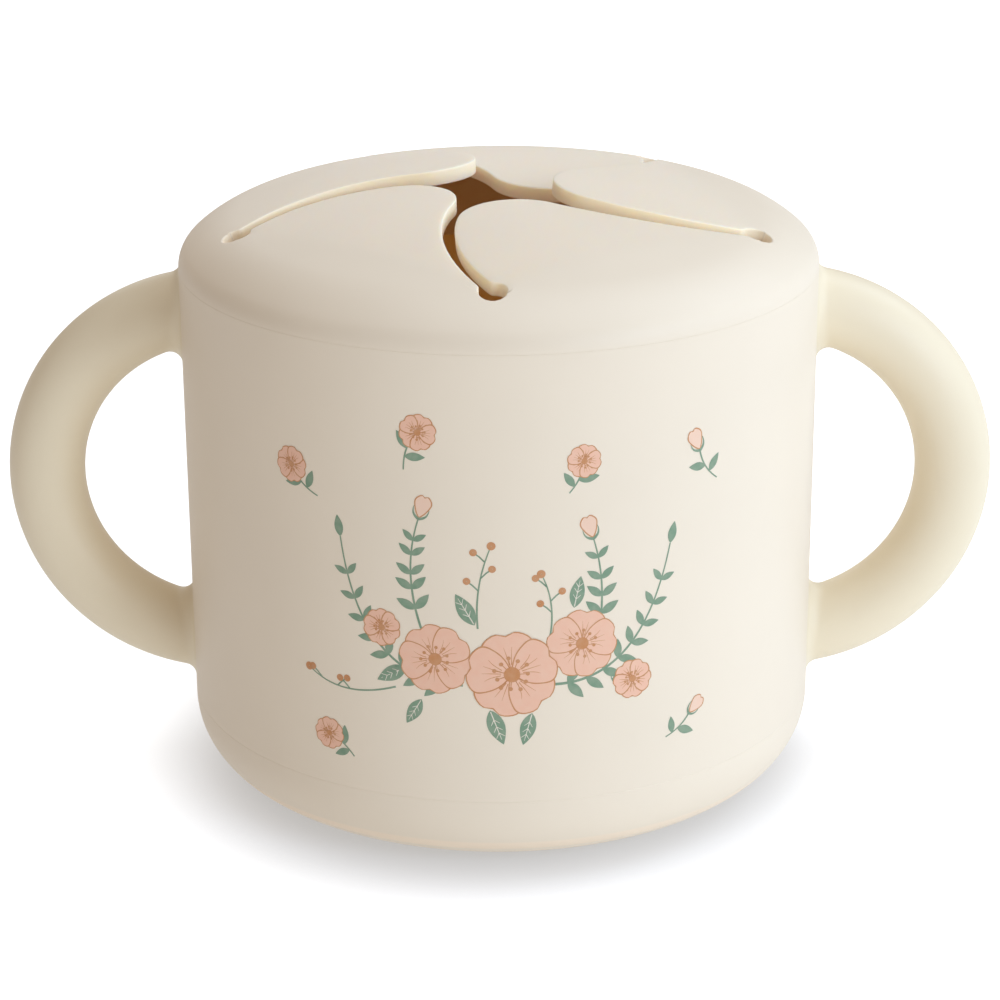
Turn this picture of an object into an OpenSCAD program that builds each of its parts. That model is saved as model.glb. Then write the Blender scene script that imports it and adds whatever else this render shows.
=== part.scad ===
// Toddler snack container: a soft silicone cup with two ring handles, closed by a
// domed silicone lid. Five curved slits divide the middle of the lid into five
// flaps, which bend down for a small hand and close again behind it.
// Millimetres, +Z up. The origin is the middle of the base, the handles lie along X.

/* [Cup] */
// Outside diameter of the cup, and of the lid that sits flush on it
cup_d = 88; // [80:1:100]
// Height of the rim, where cup and lid meet
rim_z = 73; // [72:0.5:90]
// Thickness of the side wall
wall = 2.6; // [2.2:0.1:3.6]
// Thickness of the floor
floor_t = 3.2; // [2:0.1:5]
// Outside rounding between the wall and the base
base_r = 10; // [5:0.5:12]
// Rounding of the rim's inner edge, which leads the lid's plug in
rim_r = 0.6; // [0.2:0.1:1]

/* [Ring handles] */
// Radius of each ring, to the middle of its tube
ring_r = 24.5; // [20:0.25:27]
// Diameter of the tube that the ring is made of
tube_d = 10.6; // [8:0.2:13]
// How far the centre of the ring lies inside the cup's outer face
ring_inset = 4.5; // [2:0.2:6]
// How far the centre of the ring lies below the rim
ring_drop = 31.3; // [31:0.1:33]
// Fillet round each root of a ring, where it grows out of the cup
root_fillet = 1.8; // [0.6:0.2:2.4]

/* [Lid] */
// Thickness of the lid's skin
skin = 2.1; // [1.6:0.1:2.6]
// Radius of the tight edge just above the seam
edge_r = 3.9; // [3:0.1:6]
// Angle that the tight edge turns through
edge_turn = 49; // [40:1:55]
// Radius of the shoulder between the edge and the dome
shoulder_r = 17; // [12:1:24]
// Radius of the dome
dome_r = 140; // [110:5:180]
// Depth of the plug that hangs into the cup
plug_h = 8; // [5:0.5:12]
// Thickness of the plug's wall
plug_t = 1.6; // [1.2:0.1:2]
// Radial gap between the plug and the cup's bore
plug_gap = 0.4; // [0.3:0.05:0.6]
// Height of each of the plug's two sealing beads
bead_h = 1.4; // [1:0.1:2]
// Radial gap between a sealing bead and the cup's bore
bead_gap = 0.15; // [0.1:0.05:0.25]

/* [Slits and flaps] */
// Radius of the circle on which the round ends of the slits lie
slit_circle_r = 36.7; // [34.5:0.1:37]
// Turn of the whole set of slits about the middle of the lid
slit_turn = -1.2; // [-10:0.2:10]
// Width of a slit
slit_w = 1.8; // [1.2:0.1:2.4]
// How far a slit bows sideways from the straight line to the middle
slit_bow = 6.2; // [4:0.1:8]
// Diameter of the round hole at the outer end of a slit
slit_hole_d = 3.8; // [3.4:0.1:4.6]
// Radius of the round tip of a flap
tip_r = 8; // [5:0.5:9]
// Clearance between a flap and the lid along its hinge line
hinge_gap = 0.3; // [0.25:0.05:0.4]
// Resting angles of the flaps, up from the dome, round the lid from the front right
// (front right, back right, back, left, front left)
flap_rest = [-2.3, 1.4, -6.7, 1.1, -1.7];

/* [Hidden] */
$fn = 96;
cream = [0.93, 0.89, 0.83];
cream_lid = [0.95, 0.92, 0.87];
cream_flap = [0.96, 0.94, 0.89];

cup_r = cup_d / 2;
bore_r = cup_r - wall;
cavity_r = max(base_r - wall, 1);     // inside rounding, which keeps the wall even
tube_r = tube_d / 2;
ring_x = cup_r - ring_inset;
ring_z = rim_z - ring_drop;
root_z = sqrt(ring_r * ring_r - ring_inset * ring_inset);  // from the ring's centre to a root's
root_r = min(root_fillet, ring_drop - root_z - tube_r);    // stays below the rim
flap_count = len(flap_rest);
flap_step = 360 / flap_count;
arc_steps = 9;                         // straight pieces in each arc of an outline
reach = cup_d;                         // longer than any cut across the part needs

// Points along an arc about c, from angle a to angle b.
function arc(c, r, a, b, n = arc_steps) =
    [for (i = [0:n]) let (t = a + (b - a) * i / n) c + r * [cos(t), sin(t)]];

// ---- Profile of the lid: three arcs, each tangent to the next ----
edge_c = [cup_r - edge_r, rim_z];
shoulder_c = edge_c - (shoulder_r - edge_r) * [cos(edge_turn), sin(edge_turn)];
shoulder_turn = acos(shoulder_c[0] / (dome_r - shoulder_r));
dome_c = [0, shoulder_c[1] - (dome_r - shoulder_r) * sin(shoulder_turn)];

// The lid's outer line from the seam to the middle, moved inwards by inset.
function lid_line(inset) = concat(
    arc(edge_c, edge_r - inset, 0, edge_turn),
    arc(shoulder_c, shoulder_r - inset, edge_turn, shoulder_turn),
    arc(dome_c, dome_r - inset, shoulder_turn, 90));

// Height of the lid's line at a distance r from the axis, on shoulder or dome.
function lid_height(r, inset) = r > (dome_r - inset) * cos(shoulder_turn)
    ? shoulder_c[1] + sqrt(pow(shoulder_r - inset, 2) - pow(r - shoulder_c[0], 2))
    : dome_c[1] + sqrt(pow(dome_r - inset, 2) - r * r);

function reversed(v) = [for (i = [len(v) - 1:-1:0]) v[i]];

// ---- Hinge line of a flap: the chord between two slit holes ----
hinge_len = 2 * slit_circle_r * sin(flap_step / 2);
hinge_r = slit_circle_r * cos(flap_step / 2);          // from the axis to the middle of the chord
hinge_drop = lid_height(hinge_r, 0) - lid_height(slit_circle_r, 0); // how much the dome falls along the chord
hinge_z = lid_height(hinge_r, 0) - (skin + hinge_drop) / 2;
knuckle_r = (skin + hinge_drop) / 2 + 0.1;              // round root that turns about the hinge line
knuckle_inset = 0.35 * slit_hole_d;                     // from the hole's middle to the root's end

// ---- Slits: arcs from the hole to the middle of the lid, seen from above ----
slit_r = (pow(slit_circle_r / 2, 2) + pow(slit_bow, 2)) / (2 * slit_bow);
// Centre of the arc of the slit whose hole lies at azimuth az.
function slit_c(az) = slit_circle_r / 2 * [cos(az), sin(az)]
                    + (slit_r - slit_bow) * [-sin(az), cos(az)];
function azimuth(v) = atan2(v[1], v[0]);

// ---- Outline of a flap, seen from above, between the slits at azimuths 0 and flap_step ----
inner_r = slit_r - slit_w / 2;         // the flap lies inside its first slit's arc
outer_r = slit_r + slit_w / 2;         // and outside the next one's
first_c = slit_c(0);
next_c = slit_c(flap_step);
// The tip circle touches both arcs: it lies at known distances from their centres.
tip_first = inner_r - tip_r;
tip_next = outer_r + tip_r;
span = norm(next_c - first_c);
tip_along = (span * span + tip_first * tip_first - tip_next * tip_next) / (2 * span);
tip_side = sqrt(tip_first * tip_first - tip_along * tip_along);
span_dir = (next_c - first_c) / span;
tip_c = first_c + tip_along * span_dir + tip_side * [-span_dir[1], span_dir[0]];

function hole_at(az) = slit_circle_r * [cos(az), sin(az)];
function turn_up(a, b) = b < a ? turn_up(a, b + 360) : b;
function turn_down(a, b) = b > a ? turn_down(a, b - 360) : b;

// ---- Solids ----

// The cup: a wall and floor of even thickness, turned about the axis.
module cup_body() {
    color(cream)
    rotate_extrude()
    polygon(concat(
        [[0, 0]],
        arc([cup_r - base_r, base_r], base_r, -90, 0),
        [[cup_r, rim_z]],
        arc([bore_r + rim_r, rim_z - rim_r], rim_r, 90, 180, 4),
        arc([bore_r - cavity_r, floor_t + cavity_r], cavity_r, 0, -90),
        [[0, floor_t]]));
}

// A ring handle grows out of the wall at two roots, each with a flared fillet.
module handle(side) {
    color(cream)
    difference() {
        translate([side * ring_x, 0, ring_z])
        rotate([90, 0, 0])
        union() {
            rotate_extrude()
            translate([ring_r, 0])
            circle(r = tube_r);
            for (up = [-1, 1])
            translate([side * ring_inset, up * root_z, 0])
            rotate([0, 90 * side, 0])
            root_flare();
        }
        translate([0, 0, -reach])
        cylinder(r = cup_r, h = 4 * reach);
    }
}

// A trumpet about the tube, widest at the wall, with its axis along +Z.
module root_flare() {
    sink = 1.2;                              // reaches back into the curved wall
    rotate_extrude()
    polygon(concat(
        [[0, -sink], [tube_r + root_r, -sink]],
        arc([tube_r + root_r, root_r], root_r, -90, -170),
        [[0, root_r]]));
}

module handle_left() handle(-1);
module handle_right() handle(1);

// The lid's skin, turned about the axis, before the slits divide it.
module lid_skin() {
    rotate_extrude()
    polygon(concat(lid_line(0), reversed(lid_line(skin))));
}

// The part of the skin round the flaps, with the plug that hangs in the cup.
module lid_collar() {
    color(cream_lid)
    difference() {
        collar_ring();
        for (k = [0:flap_count - 1])
        rotate([0, 0, flap_azimuth(k)])
        hinge_recess();
        five_sided_mouth();
        slit_holes();
    }
}

// The collar turned in one piece: skin, plug and two sealing beads. Its inner edge
// lies inside the mouth, which is cut from it afterwards.
module collar_ring() {
    plug_r = bore_r - plug_gap;
    plug_inside = plug_r - plug_t;
    inner_edge = hinge_r - 2 * knuckle_r;
    apart = 0.2;                             // keeps the outline's points off its corners
    rotate_extrude()
    polygon(concat(
        [for (p = lid_line(0)) if (p[0] > inner_edge + apart) p],
        [[inner_edge, lid_height(inner_edge, 0)], [inner_edge, lid_height(inner_edge, skin)]],
        [for (p = reversed(lid_line(skin)))
            if (p[0] > inner_edge + apart && p[0] < plug_inside - apart) p],
        [[plug_inside, lid_height(plug_inside, skin)], [plug_inside, rim_z - plug_h],
         [plug_r - plug_t / 3, rim_z - plug_h]],
        seal_bead(rim_z - plug_h + bead_h, plug_r),
        seal_bead(rim_z - plug_h + 3 * bead_h, plug_r),
        [[plug_r, rim_z]]));
}

// One bulging bead on the plug's outer face, from z up.
function seal_bead(z, plug_r) =
    [[plug_r, z], [bore_r - bead_gap, z + 0.3 * bead_h],
     [bore_r - bead_gap, z + 0.7 * bead_h], [plug_r, z + bead_h]];

// Azimuth of the first slit of flap k: flap 0 lies at the front right.
function flap_azimuth(k) = -90 + slit_turn + k * flap_step;

// The mouth that the flaps close. Its sides lie a little inside the hinge lines, and
// the recesses for the flaps' roots cut the rest away.
module five_sided_mouth() {
    inside = 1 - knuckle_r / 4 / slit_circle_r;
    translate([0, 0, rim_z - plug_h])
    linear_extrude(reach)
    polygon([for (k = [0:flap_count - 1]) inside * hole_at(flap_azimuth(k))]);
}

module slit_holes() {
    for (k = [0:flap_count - 1])
    translate(concat(hole_at(flap_azimuth(k)), rim_z))
    cylinder(d = slit_hole_d, h = reach);
}

// Moves a shape so that +X runs along the hinge line of the flap between azimuths
// 0 and flap_step, from the first hole, and +Y points to the middle of the lid.
module at_hinge() {
    translate(concat(hole_at(0), hinge_z))
    rotate([0, 0, 90 + flap_step / 2])
    children();
}

// Room in the collar for the round root of a flap.
module hinge_recess() {
    at_hinge()
    translate([knuckle_inset - hinge_gap, 0, 0])
    rotate([0, 90, 0])
    cylinder(r = knuckle_r + hinge_gap, h = hinge_len - 2 * (knuckle_inset - hinge_gap));
}

// One flap: the skin inside its outline, with a round root on the hinge line.
module flap(k) {
    color(cream_flap)
    rotate([0, 0, flap_azimuth(k)])
    at_hinge()
    rotate([flap_rest[k], 0, 0])
    difference() {
        intersection() {
            rotate([0, 0, -(90 + flap_step / 2)])
            translate(-concat(hole_at(0), hinge_z))
            lid_skin();
            rotate([0, 0, -(90 + flap_step / 2)])
            translate(-concat(hole_at(0), 0))
            translate([0, 0, -reach / 2])
            linear_extrude(reach)
            flap_outline();
        }
        difference() {
            translate([-reach, -reach, -reach])
            cube([3 * reach, reach, 2 * reach]);
            translate([-reach, 0, 0])
            rotate([0, 90, 0])
            cylinder(r = knuckle_r, h = 3 * reach);
        }
        for (x = [0, hinge_len])
        translate([x, 0, -reach])
        cylinder(d = slit_hole_d, h = 2 * reach);
    }
}

// The flap between the slits at azimuths 0 and flap_step, seen from above: two
// bowed sides, a round tip, and a root that runs a little past the hinge line. The
// root's square ends start inside the holes and keep clear of the recess's ends.
module flap_outline() {
    out = knuckle_r + 1;
    in_hole = slit_w / 2;
    chord_dir = (hole_at(flap_step) - hole_at(0)) / hinge_len;
    outwards = [cos(flap_step / 2), sin(flap_step / 2)];
    first_start = azimuth(hole_at(0) - first_c);
    first_end = azimuth(tip_c - first_c);
    next_start = azimuth(tip_c - next_c);
    next_end = azimuth(hole_at(flap_step) - next_c);
    tip_start = first_end;
    tip_end = azimuth(next_c - tip_c);
    polygon(concat(
        [for (o = [out, in_hole]) hole_at(0) + knuckle_inset * chord_dir + o * outwards],
        arc(first_c, inner_r, first_start, turn_down(first_start, first_end)),
        arc(tip_c, tip_r, tip_start, turn_down(tip_start, tip_end)),
        arc(next_c, outer_r, next_start, turn_up(next_start, next_end)),
        [for (o = [in_hole, out]) hole_at(flap_step) - knuckle_inset * chord_dir + o * outwards]));
}

module flap_front_right() flap(0);
module flap_back_right() flap(1);
module flap_back() flap(2);
module flap_left() flap(3);
module flap_front_left() flap(4);

cup_body();
handle_left();
handle_right();
lid_collar();
flap_front_right();
flap_back_right();
flap_back();
flap_left();
flap_front_left();
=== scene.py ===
# %% [markdown]
# A soft silicone snack cup for a toddler: a straight cup with two ring handles, closed
# by a domed lid. Five curved slits part the middle of the lid into five flaps that a
# small hand pushes through. This lesson dresses the cup's CAD model in Blender. The
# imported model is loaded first, and everything is made in its frame, in metres.

# %% Load the frame
import math

import bmesh
import bpy
from mathutils import Matrix, Vector


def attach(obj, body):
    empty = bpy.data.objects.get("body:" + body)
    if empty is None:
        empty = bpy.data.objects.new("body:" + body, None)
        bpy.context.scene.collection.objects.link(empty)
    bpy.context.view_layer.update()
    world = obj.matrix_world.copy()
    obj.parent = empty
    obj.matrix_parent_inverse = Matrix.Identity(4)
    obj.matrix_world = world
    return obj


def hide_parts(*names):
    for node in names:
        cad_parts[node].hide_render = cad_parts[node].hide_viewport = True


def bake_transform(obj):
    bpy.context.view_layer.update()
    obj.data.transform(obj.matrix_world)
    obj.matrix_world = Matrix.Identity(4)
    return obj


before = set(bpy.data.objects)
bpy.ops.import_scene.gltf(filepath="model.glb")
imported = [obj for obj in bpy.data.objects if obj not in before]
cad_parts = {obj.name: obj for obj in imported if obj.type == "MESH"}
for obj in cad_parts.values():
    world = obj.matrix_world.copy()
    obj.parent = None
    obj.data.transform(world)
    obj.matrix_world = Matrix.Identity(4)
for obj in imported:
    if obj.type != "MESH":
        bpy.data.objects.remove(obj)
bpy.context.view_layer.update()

# %% [markdown]
# The sizes of the cup, as a maker would list them. Lengths are written in millimetres
# and are turned into metres at the last moment, so the numbers stay easy to read.

# %% Sizes
MM = 0.001
CUP_R, RIM_Z, WALL, FLOOR = 44.0, 73.0, 2.6, 3.2  # the cup
BASE_R, CAVITY_R, EDGE_SOFT = 10.0, 7.4, 0.05  # its roundings, and a fine edge's
PART_LINE_Z = 11.2  # where the mould's halves meet
RING_R, TUBE_R, RING_X, RING_Z = 24.5, 5.3, 39.5, 41.7  # the ring handles
ROOT_R = 1.8  # fillet where they meet the wall
SKIN = 2.1  # thickness of the lid's skin
EDGE_R, EDGE_TURN = 3.9, math.radians(49)  # the lid's tight edge
SHOULDER_R, DOME_R = 17.0, 140.0  # its shoulder and its flat dome
PLUG_R, PLUG_T, PLUG_H = 41.0, 1.6, 8.0  # the plug that sits in the rim
BEAD_H, BEAD_OUT = 1.4, 0.25  # the plug's sealing beads
FLAPS = 5  # slits and flaps
STEP = 2 * math.pi / FLAPS
FIRST = math.radians(-91.2)  # azimuth of the front slit
HOLE_CIRCLE, HOLE_R = 36.7, 1.9  # the round holes that end the slits
SLIT_W, SLIT_BOW, TIP_R = 1.8, 6.2, 8.0  # a slit's width and bow, a flap's tip
HINGE_R = HOLE_CIRCLE * math.cos(STEP / 2)  # the hinge line, from hole to hole
HINGE_Z = 79.1162
BEND = 1.5  # half width of the bending zone
FLAP_NAMES = ["flap_front_right", "flap_back_right", "flap_back", "flap_left",
              "flap_front_left"]
FLAP_REST = [-2.3, 1.4, -6.7, 1.1, -1.7]  # degrees, up from the dome
print("five slits end in holes on a circle of", HOLE_CIRCLE, "mm radius")


# %% [markdown]
# Nearly everything on this cup is a smooth skin drawn through closed loops, so one
# helper does it: it adds a circle, puts its points on the first loop, and extrudes it
# from loop to loop. That is how one would do it by hand, and it keeps clean rows of
# four-sided faces, on which a matt, softly lit surface shows no ripples.

# %% A skin through loops
def nothing_selected():
    """Leaves edit mode and selects nothing, so that the next tool meets only its own piece."""
    if bpy.context.mode != "OBJECT":
        bpy.ops.object.mode_set(mode="OBJECT")
    bpy.ops.object.select_all(action="DESELECT")


def lofted(name, loops):
    """A skin through loops of points, all with the same number of points."""
    nothing_selected()
    count = len(loops[0])
    bpy.ops.mesh.primitive_circle_add(vertices=count, fill_type="NOTHING", enter_editmode=True)
    piece = bpy.context.object
    piece.name = piece.data.name = name
    bm = bmesh.from_edit_mesh(piece.data)
    bm.verts.ensure_lookup_table()
    for vert, point in zip(bm.verts, loops[0]):
        vert.co = Vector(point) * MM
    last = {vert.index: i for i, vert in enumerate(bm.verts)}
    for loop in loops[1:]:
        bpy.ops.mesh.extrude_edges_move()
        bm = bmesh.from_edit_mesh(piece.data)
        bm.verts.index_update()
        bm.verts.ensure_lookup_table()
        fresh = {}
        for vert in bm.verts[-count:]:
            old = next(e.other_vert(vert).index for e in vert.link_edges
                       if e.other_vert(vert).index in last)
            fresh[vert.index] = last[old]
            vert.co = Vector(loop[last[old]]) * MM
        last = fresh
    bmesh.update_edit_mesh(piece.data)
    bpy.ops.object.mode_set(mode="OBJECT")
    return piece


# %% [markdown]
# A fresh skin has doubled points where it closes or shrinks to a pole, and its faces may
# point either way. Finishing it merges the doubles, turns the faces outwards and smooths
# the shading, except across real edges. The operator that turns the faces can be misled
# by a thin skin, so the volume is measured too: it is below zero when they point inwards.

# %% Finish a skin
MERGE, SHARP = 0.002, 50  # mm between doubles, degrees of an edge


def chosen(piece):
    """Selects one piece alone and makes it the active one."""
    nothing_selected()
    piece.select_set(True)
    bpy.context.view_layer.objects.active = piece


def finished(piece):
    chosen(piece)
    bpy.ops.object.mode_set(mode="EDIT")
    bpy.ops.mesh.select_all(action="SELECT")
    bpy.ops.mesh.remove_doubles(threshold=MERGE * MM)
    bpy.ops.mesh.dissolve_degenerate(threshold=MERGE * MM)
    bpy.ops.mesh.select_all(action="SELECT")
    bpy.ops.mesh.normals_make_consistent(inside=False)
    if bmesh.from_edit_mesh(piece.data).calc_volume(signed=True) < 0:
        bpy.ops.mesh.flip_normals()
    bpy.ops.object.mode_set(mode="OBJECT")
    bpy.ops.object.shade_smooth_by_angle(angle=math.radians(SHARP))
    bpy.ops.object.transform_apply(location=True, rotation=True, scale=True)
    print(piece.name, "has", len(piece.data.polygons), "faces")
    return piece


print("points closer than", MERGE, "mm are merged; edges over", SHARP, "degrees stay sharp")


# %% [markdown]
# A turned piece needs only its profile, a line of (radius, height). Roundings in it are
# arcs, and each point of the profile becomes a loop of its own.

# %% Profiles
def arc(cx, cz, r, a, b, n):
    """Points of an arc about (cx, cz) from angle a to b, in n steps."""
    return [(cx + r * math.cos(a + (b - a) * i / n), cz + r * math.sin(a + (b - a) * i / n))
            for i in range(n + 1)]


def turned(name, profile, count):
    """A profile of (radius, height) turned about the cup's axis."""
    return lofted(name, [[(r * math.cos(2 * math.pi * i / count),
                           r * math.sin(2 * math.pi * i / count), z)
                          for i in range(count)] for r, z in profile])


# %% [markdown]
# The cup is a turned shape: floor, rounded corner, straight wall, rim, and the inside
# back to the middle. A Screw modifier could turn it too, but going through the helper
# gives the same even rows as the other skins. The rim's outer edge is softened only a
# little, so the seam under the lid stays fine, and a hair-fine groove marks where the
# mould's halves meet. Rows right beside a fine edge keep its soft shading narrow.

# %% The cup
LINE, BESIDE, BORE_SOFT = 0.03, 0.15, 0.6  # parting line, rows beside an edge, inner rim
BASE_ROWS, WALL_ROWS = (8, 16, 24, 30), (14, 20, 28, 36, 44, 52, 60, 66, 70)
BORE_ROWS, FLOOR_ROWS = (70, 60, 50, 40, 30, 20), (24, 16, 8)
CUP_COLUMNS = 240
RIGHT = math.pi / 2


def cup_profile():
    bore, soft = CUP_R - WALL, EDGE_SOFT
    low, high = PART_LINE_Z - 2 * LINE, PART_LINE_Z + 2 * LINE
    points = [(0.0, 0.0)] + [(r, 0.0) for r in BASE_ROWS]
    points += arc(CUP_R - BASE_R, BASE_R, BASE_R, -RIGHT, 0, 20)
    points += [(CUP_R, low - BESIDE), (CUP_R, low), (CUP_R - LINE, PART_LINE_Z),
               (CUP_R, high), (CUP_R, high + BESIDE)]
    points += [(CUP_R, z) for z in WALL_ROWS] + [(CUP_R, RIM_Z - soft - BESIDE)]
    points += arc(CUP_R - soft, RIM_Z - soft, soft, 0, RIGHT, 4)
    points += arc(bore + BORE_SOFT, RIM_Z - BORE_SOFT, BORE_SOFT, RIGHT, 2 * RIGHT, 5)
    points += [(bore, z) for z in BORE_ROWS]
    points += arc(bore - CAVITY_R, FLOOR + CAVITY_R, CAVITY_R, 0, -RIGHT, 12)
    points += [(r, FLOOR) for r in FLOOR_ROWS] + [(0.0, FLOOR)]
    return points


cup_shell = finished(turned("cup_shell", cup_profile(), CUP_COLUMNS))
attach(cup_shell, "cup")
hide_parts("cup_body")


# %% [markdown]
# Each ring handle grows out of the wall in one piece with it. The tube is a stack of
# round sections along an arc. Where it meets the wall, a small ball rolled into the
# corner gives the fillet: its two points of touch say where the tube ends and where
# the wall begins, and the fillet's rows turn from one to the other. So the last row
# lies on the wall and leaves it without an edge.

# %% The ring handles
AROUND, ALONG, FILLET_ROWS = 56, 84, 7  # points round the tube, rows along it and its fillet


def tube_loops(side):
    ends = []
    for i in range(AROUND):
        phi = 2 * math.pi * i / AROUND
        y, out = (TUBE_R + ROOT_R) * math.sin(phi), (TUBE_R + ROOT_R) * math.cos(phi)
        x = math.sqrt((CUP_R + ROOT_R) ** 2 - y * y)  # middle of the rolling ball
        theta = math.acos((x - RING_X) / (RING_R + out))
        ends.append((phi, theta, x, y))

    def on_tube(phi, theta):
        rho = RING_R + TUBE_R * math.cos(phi)
        return (RING_X + rho * math.cos(theta), TUBE_R * math.sin(phi),
                RING_Z + rho * math.sin(theta))

    def on_fillet(phi, theta, x, y, up, share):
        rho = RING_R + (TUBE_R + ROOT_R) * math.cos(phi)
        ball = Vector((x, y, RING_Z + up * rho * math.sin(theta)))
        tube = (Vector(on_tube(phi, up * theta)) - ball).normalized()
        wall = Vector((-x, -y, 0)).normalized()
        turn = math.acos(max(-1.0, min(1.0, tube.dot(wall))))
        ray = (math.sin((1 - share) * turn) * tube
               + math.sin(share * turn) * wall) / math.sin(turn)
        return tuple(ball + ROOT_R * ray)

    lower = [[on_fillet(*end, -1, k / FILLET_ROWS) for end in ends]
             for k in range(FILLET_ROWS, 0, -1)]
    body = [[on_tube(phi, (2 * k / ALONG - 1) * theta) for phi, theta, _, _ in ends]
            for k in range(ALONG + 1)]
    upper = [[on_fillet(*end, 1, k / FILLET_ROWS) for end in ends]
             for k in range(1, FILLET_ROWS + 1)]
    return [[(side * x, side * y, z) for x, y, z in loop] for loop in lower + body + upper]


grips = []
for side, word in ((-1, "left"), (1, "right")):
    handle = finished(lofted(f"handle_{word}_grip", tube_loops(side)))
    grips.append(handle)
    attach(handle, "cup")
    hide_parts(f"handle_{word}")


# %% [markdown]
# The lid's skin follows one line, turned about the axis: a flat dome, a rounder
# shoulder and a tight edge that runs straight down into the wall. A point of the skin
# is given by its place along that line and its depth below the upper face. Collar and
# flaps are cut from this same skin, so they meet without a step.

# %% The lid's line
EDGE_C = (CUP_R - EDGE_R, RIM_Z)
SHOULDER_C = (EDGE_C[0] - (SHOULDER_R - EDGE_R) * math.cos(EDGE_TURN),
              EDGE_C[1] - (SHOULDER_R - EDGE_R) * math.sin(EDGE_TURN))
SHOULDER_TURN = math.acos(SHOULDER_C[0] / (DOME_R - SHOULDER_R))
DOME_Z = SHOULDER_C[1] - (DOME_R - SHOULDER_R) * math.sin(SHOULDER_TURN)
S_DOME = DOME_R * (math.pi / 2 - SHOULDER_TURN)
S_SHOULDER = S_DOME + SHOULDER_R * (SHOULDER_TURN - EDGE_TURN)
S_END = S_SHOULDER + EDGE_R * EDGE_TURN


def lid_point(s, depth=0.0):
    """(radius, height) of the skin at distance s along the line from the middle."""
    if s < S_DOME:
        turn, cx, cz, r = math.pi / 2 - s / DOME_R, 0.0, DOME_Z, DOME_R
    elif s < S_SHOULDER:
        turn = SHOULDER_TURN - (s - S_DOME) / SHOULDER_R
        cx, cz, r = SHOULDER_C[0], SHOULDER_C[1], SHOULDER_R
    else:
        turn = EDGE_TURN - (s - S_SHOULDER) / EDGE_R
        cx, cz, r = EDGE_C[0], EDGE_C[1], EDGE_R
    return cx + (r - depth) * math.cos(turn), cz + (r - depth) * math.sin(turn)


def along_line(radius):
    """The place along the line at which the upper face has this radius."""
    if radius < DOME_R * math.cos(SHOULDER_TURN):
        return DOME_R * math.asin(radius / DOME_R)
    if radius < SHOULDER_C[0] + SHOULDER_R * math.cos(EDGE_TURN):
        turn = math.acos((radius - SHOULDER_C[0]) / SHOULDER_R)
        return S_DOME + SHOULDER_R * (SHOULDER_TURN - turn)
    turn = math.acos(min(1.0, (radius - EDGE_C[0]) / EDGE_R))
    return S_SHOULDER + EDGE_R * (EDGE_TURN - turn)


def on_skin(x, y, depth=0.0):
    """The point of the skin under (x, y) of the upper face, depth below it."""
    radius = math.hypot(x, y)
    r, z = lid_point(along_line(radius), depth)
    scale = r / radius if radius else 1.0
    return (x * scale, y * scale, z)


print("the dome's top is at", round(lid_point(0)[1], 2), "mm")


# %% [markdown]
# Seen from above, each flap is a petal. Its root is a straight line a little outside
# the hinge line, which runs from hole to hole. Its sides are the rims of two bowed
# slits, and its tip is round. The outline is worked out once, for the flap between
# azimuths 0 and 72 degrees, and the collar takes its root line from the same points.

# %% The outline of a flap
def polar(r, a):
    return Vector((r * math.cos(a), r * math.sin(a)))


def arc_points(c, r, a, b, n):
    """Points from angle a to b about c, the short way round."""
    while b - a > math.pi:
        b -= 2 * math.pi
    while b - a < -math.pi:
        b += 2 * math.pi
    return [c + polar(r, a + (b - a) * i / n) for i in range(n + 1)]


def azimuth(v):
    return math.atan2(v.y, v.x)


SLIT_R = ((HOLE_CIRCLE / 2) ** 2 + SLIT_BOW ** 2) / (2 * SLIT_BOW)


def slit_centre(a):
    """Middle of the arc that the slit at azimuth a follows."""
    return polar(HOLE_CIRCLE / 2, a) + (SLIT_R - SLIT_BOW) * Vector((-math.sin(a), math.cos(a)))


ROOT_N, NECK_N, FLARE_N, SIDE_N, TIP_N = 60, 12, 6, 60, 36  # steps on the stretches
FLARE_R = 0.9  # rounding where a slit meets its hole
HOLE_A, HOLE_B = polar(HOLE_CIRCLE, 0), polar(HOLE_CIRCLE, STEP)
CHORD = (HOLE_B - HOLE_A).normalized()
OUTWARDS = polar(1, STEP / 2)
ROOT_REACH = math.sqrt(HOLE_R ** 2 - BEND ** 2)  # from a hole's middle to the root's end
ROOT_A = HOLE_A + BEND * OUTWARDS + ROOT_REACH * CHORD
ROOT_B = HOLE_B + BEND * OUTWARDS - ROOT_REACH * CHORD


def crossing(c1, r1, c2, r2, near):
    """Where two circles cross, on the side of near."""
    gap = (c2 - c1).length
    along = (gap * gap + r1 * r1 - r2 * r2) / (2 * gap)
    across = math.sqrt(r1 * r1 - along * along)
    d = (c2 - c1) / gap
    found = [c1 + along * d + side * across * Vector((-d.y, d.x)) for side in (-1, 1)]
    return min(found, key=lambda p: (p - near).length)


def stretch(c, r, start, end, n, towards):
    """An arc about c between two directions, each point with the way into the flap."""
    return [(p, towards * (c - p).normalized())
            for p in arc_points(c, r, azimuth(start), azimuth(end), n)]


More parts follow.
